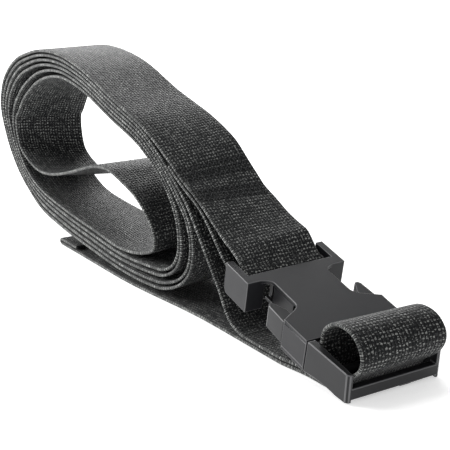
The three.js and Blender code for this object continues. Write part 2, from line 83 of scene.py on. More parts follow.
@dataclass(frozen=True)
class SmoothLine:
    """A smooth line in the side view through given points.

    Attributes:
        points: The points as rows of X and Z.
        samples: How many samples each stretch between two points gets before the line is evened out.
    """

    points: np.ndarray
    samples: int = 48

    def sampled(self, step: float) -> np.ndarray:
        """Centripetal Catmull-Rom through the points, evened out to a step.

        Each stretch is a cubic between two points whose end slopes follow from the neighbours, with
        the parameter spaced by the square root of the distance between points.

        Args:
            step: Distance between two samples.

        Returns:
            Rows of X and Z at even distances along the line.
        """
        p = np.asarray(self.points, float)
        p = np.vstack([2 * p[0] - p[1], p, 2 * p[-1] - p[-2]])
        gap = np.maximum(np.linalg.norm(np.diff(p, axis=0), axis=1) ** 0.5, 1e-4)
        a, b, c, d = p[:-3], p[1:-2], p[2:-1], p[3:]
        g0, g1, g2 = gap[:-2, None], gap[1:-1, None], gap[2:, None]
        start = ((b - a) / g0 - (c - a) / (g0 + g1) + (c - b) / g1) * g1
        end = ((c - b) / g1 - (d - b) / (g1 + g2) + (d - c) / g2) * g1
        t = np.linspace(0.0, 1.0, self.samples, endpoint=False)[None, :, None]
        b, c, start, end = (x[:, None, :] for x in (b, c, start, end))
        line = (
            b * (2 * t**3 - 3 * t**2 + 1)
            + c * (3 * t**2 - 2 * t**3)
            + start * (t**3 - 2 * t**2 + t)
            + end * (t**3 - t**2)
        ).reshape(-1, 2)
        line = np.vstack([line, p[-2]])
        run = np.concatenate([[0.0], np.cumsum(np.linalg.norm(np.diff(line, axis=0), axis=1))])
        even = np.linspace(0.0, run[-1], max(int(round(run[-1] / step)), 2) + 1)
        return np.column_stack([np.interp(even, run, line[:, i]) for i in (0, 1)])


def run_length(line: np.ndarray) -> np.ndarray:
    """Distance along a sampled line at each of its points."""
    return np.concatenate([[0.0], np.cumsum(np.linalg.norm(np.diff(line, axis=0), axis=1))])


@dataclass(frozen=True)
class CoilTwist:
    """How the webbing's width turns and leans along the strap, as it does in a coil wound by hand.

    Attributes:
        right_yaw: Turn at the right-hand bends, in degrees.
        left_yaw: Turn at the left end, in degrees.
        right_lean: Lean at the right-hand bends, in degrees.
        left_lean: Lean at the left end, in degrees.
        ground_shift: Sideways shift of the lengths on the ground; the near side is negative.
        shift_start: X at which the sideways shift starts.
        shift_end: X at which its table ends.
        top_heights: Rows of X and the height of the top ply's middle.
        top_leans: Rows of X and what the top ply leans more than those below it, in degrees.
    """

    right_yaw: float = -5.0
    left_yaw: float = 15.0
    right_lean: float = 4.5
    left_lean: float = -7.0
    ground_shift: float = -2.0
    shift_start: float = -86.0
    shift_end: float = -350.0
    top_heights: tuple[tuple[float, float], ...] = (
        (-84, 38.5),
        (-99, 45),
        (-108, 50.1),
        (-117.5, 55.2),
        (-127.5, 61.9),
        (-138, 69.9),
        (-158, 80.5),
        (-188, 90),
        (-222, 100.2),
        (-252, 104.4),
        (-281, 103.1),
        (-309, 95.2),
        (-331.2, 79),
        (-339.3, 62.9),
    )
    top_leans: tuple[tuple[float, float], ...] = (
        (-78, 0),
        (-84, 4),
        (-91, 1.5),
        (-99, -2.4),
        (-108, -5.8),
        (-117.5, -7.8),
        (-127.5, -3),
        (-138, 0.6),
        (-158, -0.6),
        (-174, -2),
        (-188, -3.2),
        (-200, -3),
        (-213, -1.5),
        (-228, 0),
        (-244, 0.6),
        (-260, 2.6),
        (-275, 5.1),
        (-291, 7.7),
        (-309, 6.5),
        (-322, 3.5),
        (-332, 0.5),
        (-340, -1),
    )

    @staticmethod
    def bell(x: np.ndarray, middle: float, half: float) -> np.ndarray:
        """A smooth hump of height 1 at middle that ends half a width away."""
        return 0.5 + 0.5 * np.cos(np.pi * np.minimum(np.abs(x - middle) / half, 1.0))

    @staticmethod
    def read(table: tuple[tuple[float, float], ...], x: np.ndarray) -> np.ndarray:
        """Reads a table of X and value, with X falling, by straight stretches."""
        rows = np.array(table, float)
        return np.interp(-x, -rows[:, 0], rows[:, 1])

    def swing(self, x: np.ndarray) -> np.ndarray:
        """Turn of the width at the right-hand bends, in radians."""
        return np.radians(self.right_yaw * self.bell(x, -146.0, 58.0))

    def yaw(self, x: np.ndarray) -> np.ndarray:
        """Turn of the width about the vertical, in radians."""
        return self.swing(x) + np.radians(self.left_yaw) * (1.0 - smoothstep(x, -325.0, -225.0))

    def lean(self, x: np.ndarray, z: np.ndarray) -> np.ndarray:
        """Lean of the width out of the level, in radians; the top ply has a lean of its own."""
        top = self.read(self.top_heights, x)
        deep = smoothstep(-x, 130.0, 230.0)
        low, high = top - (14.0 + 36.0 * deep), top - (5.0 + 15.0 * deep)
        t = np.clip((z - low) / (high - low), 0.0, 1.0)
        on_top = t * t * (3.0 - 2.0 * t)
        left = 1.0 - smoothstep(x, -300.0, -175.0)
        base = self.right_lean * self.bell(x, -128.0, 42.0) + self.left_lean * left
        return np.radians(base + self.read(self.top_leans, x) * on_top)

    def on_ground(self, x: np.ndarray, z: np.ndarray) -> np.ndarray:
        """Sideways shift of the lengths that lie on the ground."""
        return self.ground_shift * smoothstep(-x, 28.0, 50.0) * (1.0 - smoothstep(z, 3.0, 20.0))

    def shift(self, x: np.ndarray, z: np.ndarray) -> np.ndarray:
        """Sideways shift of the middle line: it follows the swing at the right-hand bends."""
        table_x = np.arange(self.shift_start, self.shift_end - 1.0, -1.0)
        table = np.concatenate([[0.0], np.cumsum(np.tan(self.swing(table_x[:-1])))])
        swung = np.interp(-x, -table_x, table)
        return swung - (1.0 - smoothstep(x, -325.0, -235.0)) + self.on_ground(x, z)

    def placed(self, x: np.ndarray, w: np.ndarray, z: np.ndarray) -> np.ndarray:
        """Places points of the side view across the webbing.

        Args:
            x: X in the side view.
            w: Distance across the webbing from its middle.
            z: Height in the side view.

        Returns:
            Points with X, Y and Z on the last axis.
        """
        rise = smoothstep(z, 1.0, 22.0)
        return np.stack(
            [
                x + w * np.sin(self.yaw(x)),
                self.shift(x, z) + w * np.cos(self.yaw(x)),
                z + w * np.sin(self.lean(x, z)) * rise,
            ],
            axis=-1,
        )


@dataclass(frozen=True)
class LoopTurn:
    """How the adjuster loop stands a little turned over the buckle's frame."""

    angle: float = 4.0
    coil: CoilTwist = field(default_factory=CoilTwist)

    def placed(self, x: np.ndarray, w: np.ndarray, z: np.ndarray) -> np.ndarray:
        """Places points of the side view; the arguments and result are those of CoilTwist.placed."""
        turn = np.radians(self.angle) * smoothstep(z, 12.0, 24.0)
        across = self.coil.on_ground(x, z) + w * np.cos(turn)
        return np.stack([x + w * np.sin(turn), across, z], axis=-1)


# ------------------------------------------------------------------ meshes


class MeshMaker:
    """Turns numpy grids into finished mesh objects in the shared frame."""

    @staticmethod
    def from_arrays(name: str, points: np.ndarray, quads: np.ndarray) -> bpy.types.Object:
        """Makes a smooth-shaded mesh object.

        Args:
            name: The piece's name.
            points: Points in millimetres in the strap's own frame.
            quads: Rows of four point numbers, counter-clockwise from outside.

        Returns:
            The object, linked to the scene.
        """
        mesh = bpy.data.meshes.new(name)
        place = (points.reshape(-1, 3) + FRAME_SHIFT) * MILLIMETRE
        mesh.vertices.add(len(place))
        mesh.vertices.foreach_set("co", place.astype(np.float32).ravel())
        mesh.loops.add(quads.size)
        mesh.loops.foreach_set("vertex_index", quads.astype(np.int32).ravel())
        mesh.polygons.add(len(quads))
        mesh.polygons.foreach_set("loop_start", np.arange(0, quads.size, 4, dtype=np.int32))
        mesh.update(calc_edges=True)
        mesh.validate()
        mesh.shade_smooth()
        made = bpy.data.objects.new(name, mesh)
        bpy.context.scene.collection.objects.link(made)
        return made

    @staticmethod
    def tube_quads(rings: int, around: int) -> np.ndarray:
        """Quads of a closed-around grid, ring after ring.

        Args:
            rings: How many rings of points there are.
            around: Points in each ring.

        Returns:
            Rows of four point numbers.
        """
        ring = np.arange(rings - 1)[:, None] * around
        here = np.arange(around)[None, :]
        following = (here + 1) % around
        return np.stack(
            [ring + here, ring + following, ring + around + following, ring + around + here],
            axis=-1,
        ).reshape(-1, 4)

    @staticmethod
    def cap_quads(ring: np.ndarray, flipped: bool) -> np.ndarray:
        """Closes the end of a flat section, pairing each point with the one opposite.

        Args:
            ring: Point numbers around the section; the first half runs back along the second.
            flipped: Whether the cap faces the line's start.

        Returns:
            Rows of four point numbers.
        """
        half = len(ring) // 2
        one, other = ring[:half], ring[half:][::-1]
        quads = np.stack([one[:-1], one[1:], other[1:], other[:-1]], axis=-1)
        return quads[:, ::-1] if flipped else quads


@dataclass(frozen=True)
class WebbingSection:
    """The webbing's cross-section: a flat band with rounded selvedges."""

    width: float = 38.0
    thickness: float = 1.6
    flat_points: int = 13
    edge_points: int = 4

    def outline(self) -> tuple[np.ndarray, np.ndarray]:
        """Points around the section, walking over the upper face and back under the lower one.

        The flat faces are evenly spaced, and each selvedge is a half circle as wide as the band is
        thick, a little flattened.

        Returns:
            Distance across the webbing and height over its middle, for each point.
        """
        half = self.width / 2
        radius = self.thickness / 2
        flat = np.linspace(-(half - radius), half - radius, self.flat_points)
        turn = np.linspace(90.0, -90.0, self.edge_points + 2)[1:-1]
        edge_w = half - radius + radius * np.cos(np.radians(turn))
        edge_h = radius * np.sin(np.radians(turn))
        across = np.concatenate([flat, edge_w, flat[::-1], -edge_w])
        height = np.concatenate(
            [np.full(len(flat), radius), edge_h, np.full(len(flat), -radius), -edge_h]
        )
        return across, height


@dataclass
class Ribbon:
    """A length of webbing swept along a line in the side view.

    Attributes:
        name: The piece's name.
        line: Rows of X and Z.
        turn: What places the side view's points across the webbing.
        section: The webbing's section.
        start_run: Distance along the whole strap at which this length starts.
        bands: Places along the strap, as X, where thread pulls the webbing in.
    """

    name: str
    line: np.ndarray
    turn: CoilTwist | LoopTurn
    section: WebbingSection = field(default_factory=WebbingSection)
    start_run: float = 0.0
    bands: tuple[float, ...] = ()
    band_reach: float = 1.3
    band_runs: tuple[float, float] = (0.0, 0.0)
    pull: float = 0.3

    def build(self) -> bpy.types.Object:
        """Sweeps the section along the line and closes both ends.

        A point is the line's point, moved by the section's height along the line's normal in the side
        view and by the section's width across it.

        Returns:
            The piece with its "weave" UV map, in metres across and along, and its "pulled" attribute.
        """
        across, height = self.section.outline()
        along = np.gradient(self.line, axis=0)
        along /= np.linalg.norm(along, axis=1)[:, None]
        normal = np.column_stack([-along[:, 1], along[:, 0]])
        run = run_length(self.line) + self.start_run
        pulled = self.pulled(run)
        lift = height[None, :] * (1.0 - self.pull * pulled[:, None])
        x = self.line[:, :1] + normal[:, :1] * lift
        z = self.line[:, 1:] + normal[:, 1:] * lift
        w = np.broadcast_to(across, x.shape)
        points = self.turn.placed(x, w, z)
        rings, around = x.shape
        quads = MeshMaker.tube_quads(rings, around)
        ring = self.cap_ring(around)
        last = ring + (rings - 1) * around
        quads = np.vstack(
            [quads, MeshMaker.cap_quads(ring, False), MeshMaker.cap_quads(last, True)]
        )
        made = MeshMaker.from_arrays(self.name, points, quads)
        self.face_outwards(made)
        self.add_weave_map(made, w, run, pulled)
        return made

    def pulled(self, run: np.ndarray) -> np.ndarray:
        """How far thread pulls the webbing in, from 0 to 1, at each distance along the strap."""
        inside = (run > self.band_runs[0]) & (run < self.band_runs[1])
        near = np.zeros_like(run)
        for place in self.bands:
            near = np.maximum(near, np.exp(-(((self.line[:, 0] - place) / self.band_reach) ** 2)))
        return near * inside

    def cap_ring(self, around: int) -> np.ndarray:
        """Point numbers of a section, started so that its first half lies over its second."""
        shift = self.section.edge_points // 2
        return np.roll(np.arange(around), shift)

    @staticmethod
    def face_outwards(made: bpy.types.Object) -> None:
        """Recalculates the faces so that they point outwards."""
        work = bmesh.new()
        work.from_mesh(made.data)
        bmesh.ops.recalc_face_normals(work, faces=work.faces)
        work.to_mesh(made.data)
        work.free()

    @staticmethod
    def add_weave_map(
        made: bpy.types.Object, w: np.ndarray, run: np.ndarray, pulled: np.ndarray
    ) -> None:
        """Stores where each point lies in the weave.

        Args:
            made: The piece.
            w: Distance across the webbing of each point, in millimetres.
            run: Distance along the strap of each ring, in millimetres.
            pulled: How far thread pulls each ring in.
        """
        mesh = made.data
        corner = np.empty(len(mesh.loops), np.int32)
        mesh.loops.foreach_get("vertex_index", corner)
        along = np.broadcast_to(run[:, None], w.shape).ravel()
        place = np.column_stack([w.ravel(), along]) * MILLIMETRE
        layer = mesh.uv_layers.new(name="weave")
        layer.data.foreach_set("uv", place[corner].astype(np.float32).ravel())
        band = np.broadcast_to(pulled[:, None], w.shape).ravel()
        mesh.attributes.new("pulled", "FLOAT", "POINT").data.foreach_set(
            "value", band.astype(np.float32)
        )


@dataclass
class ThreadRow:
    """A row of sewing thread: a round thread that zigzags over a ply."""

    name: str
    centre: np.ndarray
    slope: float
    turn: CoilTwist
    half_width: float = 17.0
    reach: float = 0.9
    teeth: int = 24
    radius: float = 0.22
    lift: float = 0.86
    sink: float = 0.3

    def build(self) -> bpy.types.Object:
        """Sweeps a round thread along a zigzag that dips into the webbing at each turn.

        Returns:
            The thread as one closed tube.
        """
        per_tooth = 8
        count = self.teeth * per_tooth + 1
        t = np.linspace(0.0, self.teeth, count)
        w = -self.half_width + 2 * self.half_width * t / self.teeth
        swing = self.reach * (1.0 - 4.0 * np.abs((t / 2) % 1.0 - 0.5)) * -1.0
        high = self.lift - self.sink * np.abs(np.cos(np.pi * t)) ** 4
        along = np.array([math.cos(self.slope), math.sin(self.slope)])
        up = np.array([-along[1], along[0]])
        middle = self.centre + swing[:, None] * along + high[:, None] * up
        turns = np.linspace(0.0, 2 * np.pi, 8, endpoint=False)
        side = self.radius * np.cos(turns)[None, :]
        over = self.radius * np.sin(turns)[None, :]
        x = middle[:, :1] + side * along[0] + over * up[0]
        z = middle[:, 1:] + side * along[1] + over * up[1]
        ww = np.broadcast_to(w[:, None], x.shape)
        points = self.turn.placed(x, ww, z)
        quads = MeshMaker.tube_quads(*x.shape)
        ring = np.arange(8)
        last = ring + (count - 1) * 8
        quads = np.vstack(
            [quads, MeshMaker.cap_quads(ring, False), MeshMaker.cap_quads(last, True)]
        )
        made = MeshMaker.from_arrays(self.name, points, quads)
        Ribbon.face_outwards(made)
        return made


# ------------------------------------------------------------------ shader node helpers


class Graph:
    """Adds shader nodes to a tree and joins them."""

    def __init__(self, tree: bpy.types.NodeTree) -> None:
        """Starts on an empty tree."""
        self.tree = tree

    def node(self, kind: str, **settings: object) -> bpy.types.Node:
        """Adds a node and sets its own properties."""
        made = self.tree.nodes.new(kind)
        for name, value in settings.items():
            setattr(made, name, value)
        return made

    def feed(self, socket: bpy.types.NodeSocket, value: object) -> None:
        """Joins a socket to another, or sets it to a constant."""
        if isinstance(value, bpy.types.NodeSocket):
            self.tree.links.new(value, socket)
        else:
            socket.default_value = value

    def math(self, operation: str, *values: object, clamp: bool = False) -> bpy.types.NodeSocket:
        """One step of arithmetic.

        Args:
            operation: The Math node's operation.
            values: Sockets or numbers, in the node's order.
            clamp: Whether the result stays between 0 and 1.

        Returns:
            The result's socket.
        """
        made = self.node("ShaderNodeMath", operation=operation, use_clamp=clamp)
        for socket, value in zip(made.inputs, values):
            self.feed(socket, value)
        return made.outputs[0]

    def ramp(
        self,
        value: object,
        low: float,
        high: float,
        to_low: float = 0.0,
        to_high: float = 1.0,
    ) -> bpy.types.NodeSocket:
        """A smooth step from one value to another.

        Args:
            value: What to read.
            low: Where the step starts.
            high: Where it ends.
            to_low: Its value before.
            to_high: Its value after.

        Returns:
            The result's socket.
        """
        made = self.node("ShaderNodeMapRange", interpolation_type="SMOOTHSTEP")
        for name, number in (
            ("Value", value),
            ("From Min", low),
            ("From Max", high),
            ("To Min", to_low),
            ("To Max", to_high),
        ):
            self.feed(made.inputs[name], number)
        return made.outputs["Result"]

    def noise(self, vector: object, scale: float, detail: float = 2.0) -> bpy.types.NodeSocket:
        """Soft noise from 0 to 1."""
        made = self.node("ShaderNodeTexNoise")
        self.feed(made.inputs["Vector"], vector)
        made.inputs["Scale"].default_value = scale
        made.inputs["Detail"].default_value = detail
        return made.outputs["Fac"]

    def tinted(self, colour: tuple[float, float, float], factor: object) -> bpy.types.NodeSocket:
        """A colour made lighter or darker by a factor."""
        made = self.node("ShaderNodeVectorMath", operation="SCALE")
        made.inputs[0].default_value = colour
        self.feed(made.inputs["Scale"], factor)
        return made.outputs[0]


class GroupName(Enum):
    """The shader node groups that several materials share."""

    WEAVE = "webbing_weave"
    GRAIN = "moulded_grain"


@dataclass(frozen=True)
class WeaveLook:
    """How the weave is drawn, in metres and in shares of one rib or one row.

    Attributes:
        drift: How far yarns wander from their even spacing.
        wander_scale: How closely that wandering changes.
        stagger: Shift of every second rib along the strap, in rows.
        fine_scale: Scale of the fine noise for the fibres' bump and their painted glint specks.
        coarse_scale: Scale of the uneven tone.
        dash_strength: Weight of a fibre's painted glint speck beside a row's painted glint dash.
        selvedge_from: Distance from the middle at which the selvedge's stitches start.
        selvedge_to: Distance at which they are fully there.
        selvedge_strength: Weight of the selvedge's stitches.
        pulled_dim: What is left out of the painted glints and selvedge stitches where thread pulls the
            webbing in.
        pulled_shade: How much darker the body is there, a painted shade of the puckered stitched bands.
    """

    drift: float = 0.00045
    wander_scale: float = 260.0
    stagger: float = 0.12
    fine_scale: float = 1500.0
    coarse_scale: float = 700.0
    dash_strength: float = 0.9
    selvedge_from: float = 0.0176
    selvedge_to: float = 0.0184
    selvedge_strength: float = 0.3
    pulled_dim: float = 0.75
    pulled_shade: float = 0.45


class SharedGroups:
    """Builds each shared node group once."""

    look = WeaveLook()

    @staticmethod
    def start(
        name: GroupName, inputs: dict[str, tuple[str, float]], outputs: dict[str, str]
    ) -> tuple[Graph, bpy.types.Node, bpy.types.Node]:
        """Makes an empty group with named sockets.

        Args:
            name: Which group.
            inputs: Socket name to its type and default.
            outputs: Socket name to its type.

        Returns:
            The group's graph, its input node and its output node.
        """
        tree = bpy.data.node_groups.new(name.value, "ShaderNodeTree")
        for socket_name, (kind, default) in inputs.items():
            socket = tree.interface.new_socket(name=socket_name, in_out="INPUT", socket_type=kind)
            if kind == "NodeSocketFloat":
                socket.default_value = default
        for socket_name, kind in outputs.items():
            tree.interface.new_socket(name=socket_name, in_out="OUTPUT", socket_type=kind)
        graph = Graph(tree)
        return graph, graph.node("NodeGroupInput"), graph.node("NodeGroupOutput")

    @classmethod
    def weave(cls) -> bpy.types.NodeTree:
        """The webbing's weave: ribs along it, rows of picks across it and painted glints on its yarns.

        The place across, over the rib pitch, counts the ribs, and the place along, over the pick pitch,
        counts the rows. A rib is the sine of its own share, a row the sine of its own, and a painted
        glint is a short light dash where two rows meet, with its brightness drawn at random for each
        crossing.

        Returns:
            The group with outputs Shade (body tone with painted shade), the mask of painted glints and
            selvedge stitches, and Height.
        """
        graph, given, result = cls.start(
            GroupName.WEAVE,
            {
                "Place": ("NodeSocketVector", 0.0),
                "Rib Pitch": ("NodeSocketFloat", 0.0015),
                "Row Pitch": ("NodeSocketFloat", 0.00195),
                "Glint And Selvedge Amount": ("NodeSocketFloat", 0.5),
                "Pulled": ("NodeSocketFloat", 0.0),
            },
            {"Shade": "NodeSocketFloat", "Glint And Selvedge": "NodeSocketFloat", "Height": "NodeSocketFloat"},
        )
        split = graph.node("ShaderNodeSeparateXYZ")
        graph.feed(split.inputs[0], given.outputs["Place"])
        look = cls.look
        wander = graph.noise(given.outputs["Place"], look.wander_scale, 1.0)
        drift = graph.math("MULTIPLY", graph.math("SUBTRACT", wander, 0.5), look.drift)
        across = graph.math(
            "DIVIDE", graph.math("ADD", split.outputs[0], drift), given.outputs["Rib Pitch"]
        )
        along = graph.math(
            "DIVIDE", graph.math("ADD", split.outputs[1], drift), given.outputs["Row Pitch"]
        )
        rib_share = graph.math("FRACT", across)
        rib_number = graph.math("FLOOR", across)
        stagger = graph.math("MULTIPLY", graph.math("MODULO", rib_number, 2.0), look.stagger)
        rows = graph.math("ADD", along, stagger)
        row_share = graph.math("FRACT", rows)
        row_number = graph.math("FLOOR", rows)
        rib = graph.math("SINE", graph.math("MULTIPLY", rib_share, math.pi))
        row = graph.math("SINE", graph.math("MULTIPLY", row_share, math.pi))
        cell = graph.node("ShaderNodeCombineXYZ")
        graph.feed(cell.inputs[0], rib_number)
        graph.feed(cell.inputs[1], row_number)
        drawn = graph.node("ShaderNodeTexWhiteNoise", noise_dimensions="2D")
        graph.feed(drawn.inputs["Vector"], cell.outputs[0])
        fine = graph.noise(given.outputs["Place"], look.fine_scale, 2.0)
        coarse = graph.noise(given.outputs["Place"], look.coarse_scale, 2.0)
        # Painted glints: light dashes where the picks cross and light specks on the fibres stand in for
        # highlights.
        between_rows = graph.ramp(row, 0.7, 0.2)
        on_rib = graph.ramp(rib, 0.35, 0.75)
        bright = graph.ramp(drawn.outputs["Value"], 0.3, 1.0, 0.04, 0.85)
        dash = graph.math("MULTIPLY", graph.math("MULTIPLY", between_rows, on_rib), bright)
        speck = graph.ramp(fine, 0.56, 0.68)
        on_yarn = graph.math("MULTIPLY", speck, on_rib)
        glint_and_selvedge = graph.math("ADD", dash, graph.math("MULTIPLY", on_yarn, look.dash_strength))
        # The selvedge's stitch pattern is added to the same mask as the painted glints.
        reach = graph.math("ABSOLUTE", split.outputs[0])
        selvedge = graph.ramp(reach, look.selvedge_from, look.selvedge_to)
        double_turn = graph.math("MULTIPLY", along, 4 * math.pi)
        stitchlike = graph.ramp(graph.math("SINE", double_turn), -0.2, 0.8)
        edge_stitch = graph.math("MULTIPLY", selvedge, stitchlike)
        glint_and_selvedge = graph.math("MULTIPLY_ADD", edge_stitch, look.selvedge_strength, glint_and_selvedge)
        kept = graph.math("MULTIPLY_ADD", given.outputs["Pulled"], -look.pulled_dim, 1.0)
        glint_and_selvedge = graph.math("MULTIPLY", glint_and_selvedge, kept)
        graph.feed(
            result.inputs["Glint And Selvedge"],
            graph.math("MULTIPLY", glint_and_selvedge, given.outputs["Glint And Selvedge Amount"], clamp=True),
        )
        # Painted shade: the body colour darkens in the grooves between the ribs.
        groove = graph.math("POWER", rib, 0.45)
        body = graph.math("MULTIPLY_ADD", groove, 1.1, 0.1)
        mottle = graph.math("MULTIPLY_ADD", coarse, 0.5, 0.75)
        # Painted shade: the stitched bands, where thread puckers the webbing, are darkened.
        dim = graph.math("MULTIPLY_ADD", given.outputs["Pulled"], -look.pulled_shade, 1.0)
        shade = graph.math("MULTIPLY", graph.math("MULTIPLY", body, mottle), dim)
        graph.feed(result.inputs["Shade"], shade)
        swell = graph.math("MULTIPLY_ADD", graph.math("POWER", row, 0.6), 0.45, 0.55)
        height = graph.math("MULTIPLY", groove, swell)
        height = graph.math("MULTIPLY_ADD", fine, 0.35, height)
        graph.feed(result.inputs["Height"], height)
        return graph.tree

    @classmethod
    def grain(cls) -> bpy.types.NodeTree:
        """The fine spark-eroded grain of a moulding, with faint uneven tone.

        Returns:
            The group with outputs Shade, Roughness and Height.
        """
        graph, given, result = cls.start(
            GroupName.GRAIN,
            {
                "Place": ("NodeSocketVector", 0.0),
                "Grain Scale": ("NodeSocketFloat", 2200.0),
                "Roughness": ("NodeSocketFloat", 0.45),
                "Tone": ("NodeSocketFloat", 0.12),
            },
            {"Shade": "NodeSocketFloat", "Roughness": "NodeSocketFloat", "Height": "NodeSocketFloat"},
        )
        fine = graph.node("ShaderNodeTexNoise")
        graph.feed(fine.inputs["Vector"], given.outputs["Place"])
        graph.feed(fine.inputs["Scale"], given.outputs["Grain Scale"])
        fine.inputs["Detail"].default_value = 2.0
        cloud = graph.noise(given.outputs["Place"], 90.0, 3.0)
        tone = graph.math("MULTIPLY", graph.math("SUBTRACT", cloud, 0.5), given.outputs["Tone"])
        graph.feed(result.inputs["Shade"], graph.math("ADD", tone, 1.0))
        centred = graph.math("SUBTRACT", cloud, 0.5)
        rough = graph.math("MULTIPLY_ADD", centred, 0.18, given.outputs["Roughness"])
        graph.feed(result.inputs["Roughness"], rough)
        graph.feed(result.inputs["Height"], fine.outputs["Fac"])
        return graph.tree

    @classmethod
    def get(cls, name: GroupName) -> bpy.types.NodeTree:
        """Returns a shared group, built on first use."""
        found = bpy.data.node_groups.get(name.value)
        if found is None:
            found = cls.weave() if name is GroupName.WEAVE else cls.grain()
        return found


# ------------------------------------------------------------------ finishes


@dataclass(frozen=True)
class WebbingFinish:
    """Charcoal polypropylene webbing."""

    name: str = "webbing"
    colour: tuple[float, float, float] = (0.008, 0.009, 0.0098)
    # Lighter colour for the painted glints on the picks and fibres, and for the selvedge stitches.
    glint_and_selvedge_colour: tuple[float, float, float] = (0.45, 0.457, 0.44)
    glint_and_selvedge_amount: float = 0.66
    specular: float = 0.1
    roughness: float = 0.5
    bump: float = 0.9
    bump_distance: float = 0.0005
    sheen: float = 0.03

    def build(self) -> bpy.types.Material:
        """Builds the material around the shared weave group."""
        material = bpy.data.materials.new(self.name)
        material.use_nodes = True
        graph = Graph(material.node_tree)
        shader = material.node_tree.nodes["Principled BSDF"]
        place = graph.node("ShaderNodeUVMap", uv_map="weave")
        pulled = graph.node("ShaderNodeAttribute", attribute_name="pulled")
        weave = graph.node("ShaderNodeGroup")
        weave.node_tree = SharedGroups.get(GroupName.WEAVE)
        graph.feed(weave.inputs["Place"], place.outputs["UV"])
        graph.feed(weave.inputs["Pulled"], pulled.outputs["Fac"])
        weave.inputs["Glint And Selvedge Amount"].default_value = self.glint_and_selvedge_amount
        # Mixes the painted glints and the selvedge stitches into the base colour.
        mix = graph.node("ShaderNodeMix", data_type="RGBA")
        graph.feed(mix.inputs["Factor"], weave.outputs["Glint And Selvedge"])
        graph.feed(mix.inputs["A"], graph.tinted(self.colour, weave.outputs["Shade"]))
        mix.inputs["B"].default_value = (*self.glint_and_selvedge_colour, 1.0)
        graph.feed(shader.inputs["Base Color"], mix.outputs["Result"])
        shader.inputs["Roughness"].default_value = self.roughness
        shader.inputs["Specular IOR Level"].default_value = self.specular
        shader.inputs["Sheen Weight"].default_value = self.sheen
        shader.inputs["Sheen Roughness"].default_value = 0.4
        bump = graph.node("ShaderNodeBump")
        bump.inputs["Strength"].default_value = self.bump
        bump.inputs["Distance"].default_value = self.bump_distance
        graph.feed(bump.inputs["Height"], weave.outputs["Height"])
        graph.feed(shader.inputs["Normal"], bump.outputs["Normal"])
        return material


@dataclass(frozen=True)
class PlasticFinish:
    """Satin moulded plastic with a fine grain."""

    name: str = "moulded"
    colour: tuple[float, float, float] = (0.012, 0.0121, 0.0142)
    specular: float = 0.3
    roughness: float = 0.42
    bump: float = 0.12

    def build(self) -> bpy.types.Material:
        """Builds the material around the shared grain group."""
        material = bpy.data.materials.new(self.name)
        material.use_nodes = True
        graph = Graph(material.node_tree)
        shader = material.node_tree.nodes["Principled BSDF"]
        place = graph.node("ShaderNodeTexCoord")
        grain = graph.node("ShaderNodeGroup")
        grain.node_tree = SharedGroups.get(GroupName.GRAIN)
        graph.feed(grain.inputs["Place"], place.outputs["Object"])
        grain.inputs["Roughness"].default_value = self.roughness
        shader.inputs["Specular IOR Level"].default_value = self.specular
        graph.feed(shader.inputs["Base Color"], graph.tinted(self.colour, grain.outputs["Shade"]))
        graph.feed(shader.inputs["Roughness"], grain.outputs["Roughness"])
        bump = graph.node("ShaderNodeBump")
        bump.inputs["Strength"].default_value = self.bump
        bump.inputs["Distance"].default_value = 0.0001
        graph.feed(bump.inputs["Height"], grain.outputs["Height"])
        graph.feed(shader.inputs["Normal"], bump.outputs["Normal"])
        return material


@dataclass(frozen=True)
class ThreadFinish:
    """Dark sewing thread."""

    name: str = "thread"
    colour: tuple[float, float, float] = (0.02, 0.021, 0.023)
    roughness: float = 0.5

    def build(self) -> bpy.types.Material:
        """Builds a thread whose tone varies along it."""
        material = bpy.data.materials.new(self.name)
        material.use_nodes = True
        graph = Graph(material.node_tree)
        shader = material.node_tree.nodes["Principled BSDF"]
        place = graph.node("ShaderNodeTexCoord")
        tone = graph.noise(place.outputs["Object"], 1500.0, 1.0)
        uneven = graph.math("MULTIPLY_ADD", tone, 1.6, 0.4)
        graph.feed(shader.inputs["Base Color"], graph.tinted(self.colour, uneven))
        shader.inputs["Roughness"].default_value = self.roughness
        return material


# ------------------------------------------------------------------ the strap's route


@dataclass(frozen=True)
class Station:
    """A place around the coil: the outermost ply's middle and how deep each ply lies inwards there."""

    at: tuple[float, float]
    inward: tuple[float, float]
    depths: tuple[float, ...]

    def lane(self, ply: int) -> tuple[float, float]:
        """Middle of a ply, counted inwards from the outermost."""
        depth = self.depths[ply]
        return (self.at[0] + self.inward[0] * depth, self.at[1] + self.inward[1] * depth)


@dataclass(frozen=True)
class BuckleFrame:
    """Where the latched buckle sits: its seam point and its slope."""

    seam: tuple[float, float] = (-26.6, 4.9)
    pitch: float = 16.0
    rear_bar: tuple[float, float] = (-54.5, 8.2)
    wrap_radius: float = 3.85

    def point(self, along: float, height: float) -> tuple[float, float]:
        """A point of the side view from its place along and over the buckle."""
        a = math.radians(self.pitch)
        return (
            self.seam[0] + along * math.cos(a) + height * math.sin(a),
            self.seam[1] - along * math.sin(a) + height * math.cos(a),
        )

    def wrap(self, degrees: float) -> tuple[float, float]:
        """A point on the webbing's turn round the rear bar."""
        x, z = self.point(*self.rear_bar)
        a = math.radians(degrees)
        return (x + self.wrap_radius * math.cos(a), z + self.wrap_radius * math.sin(a))


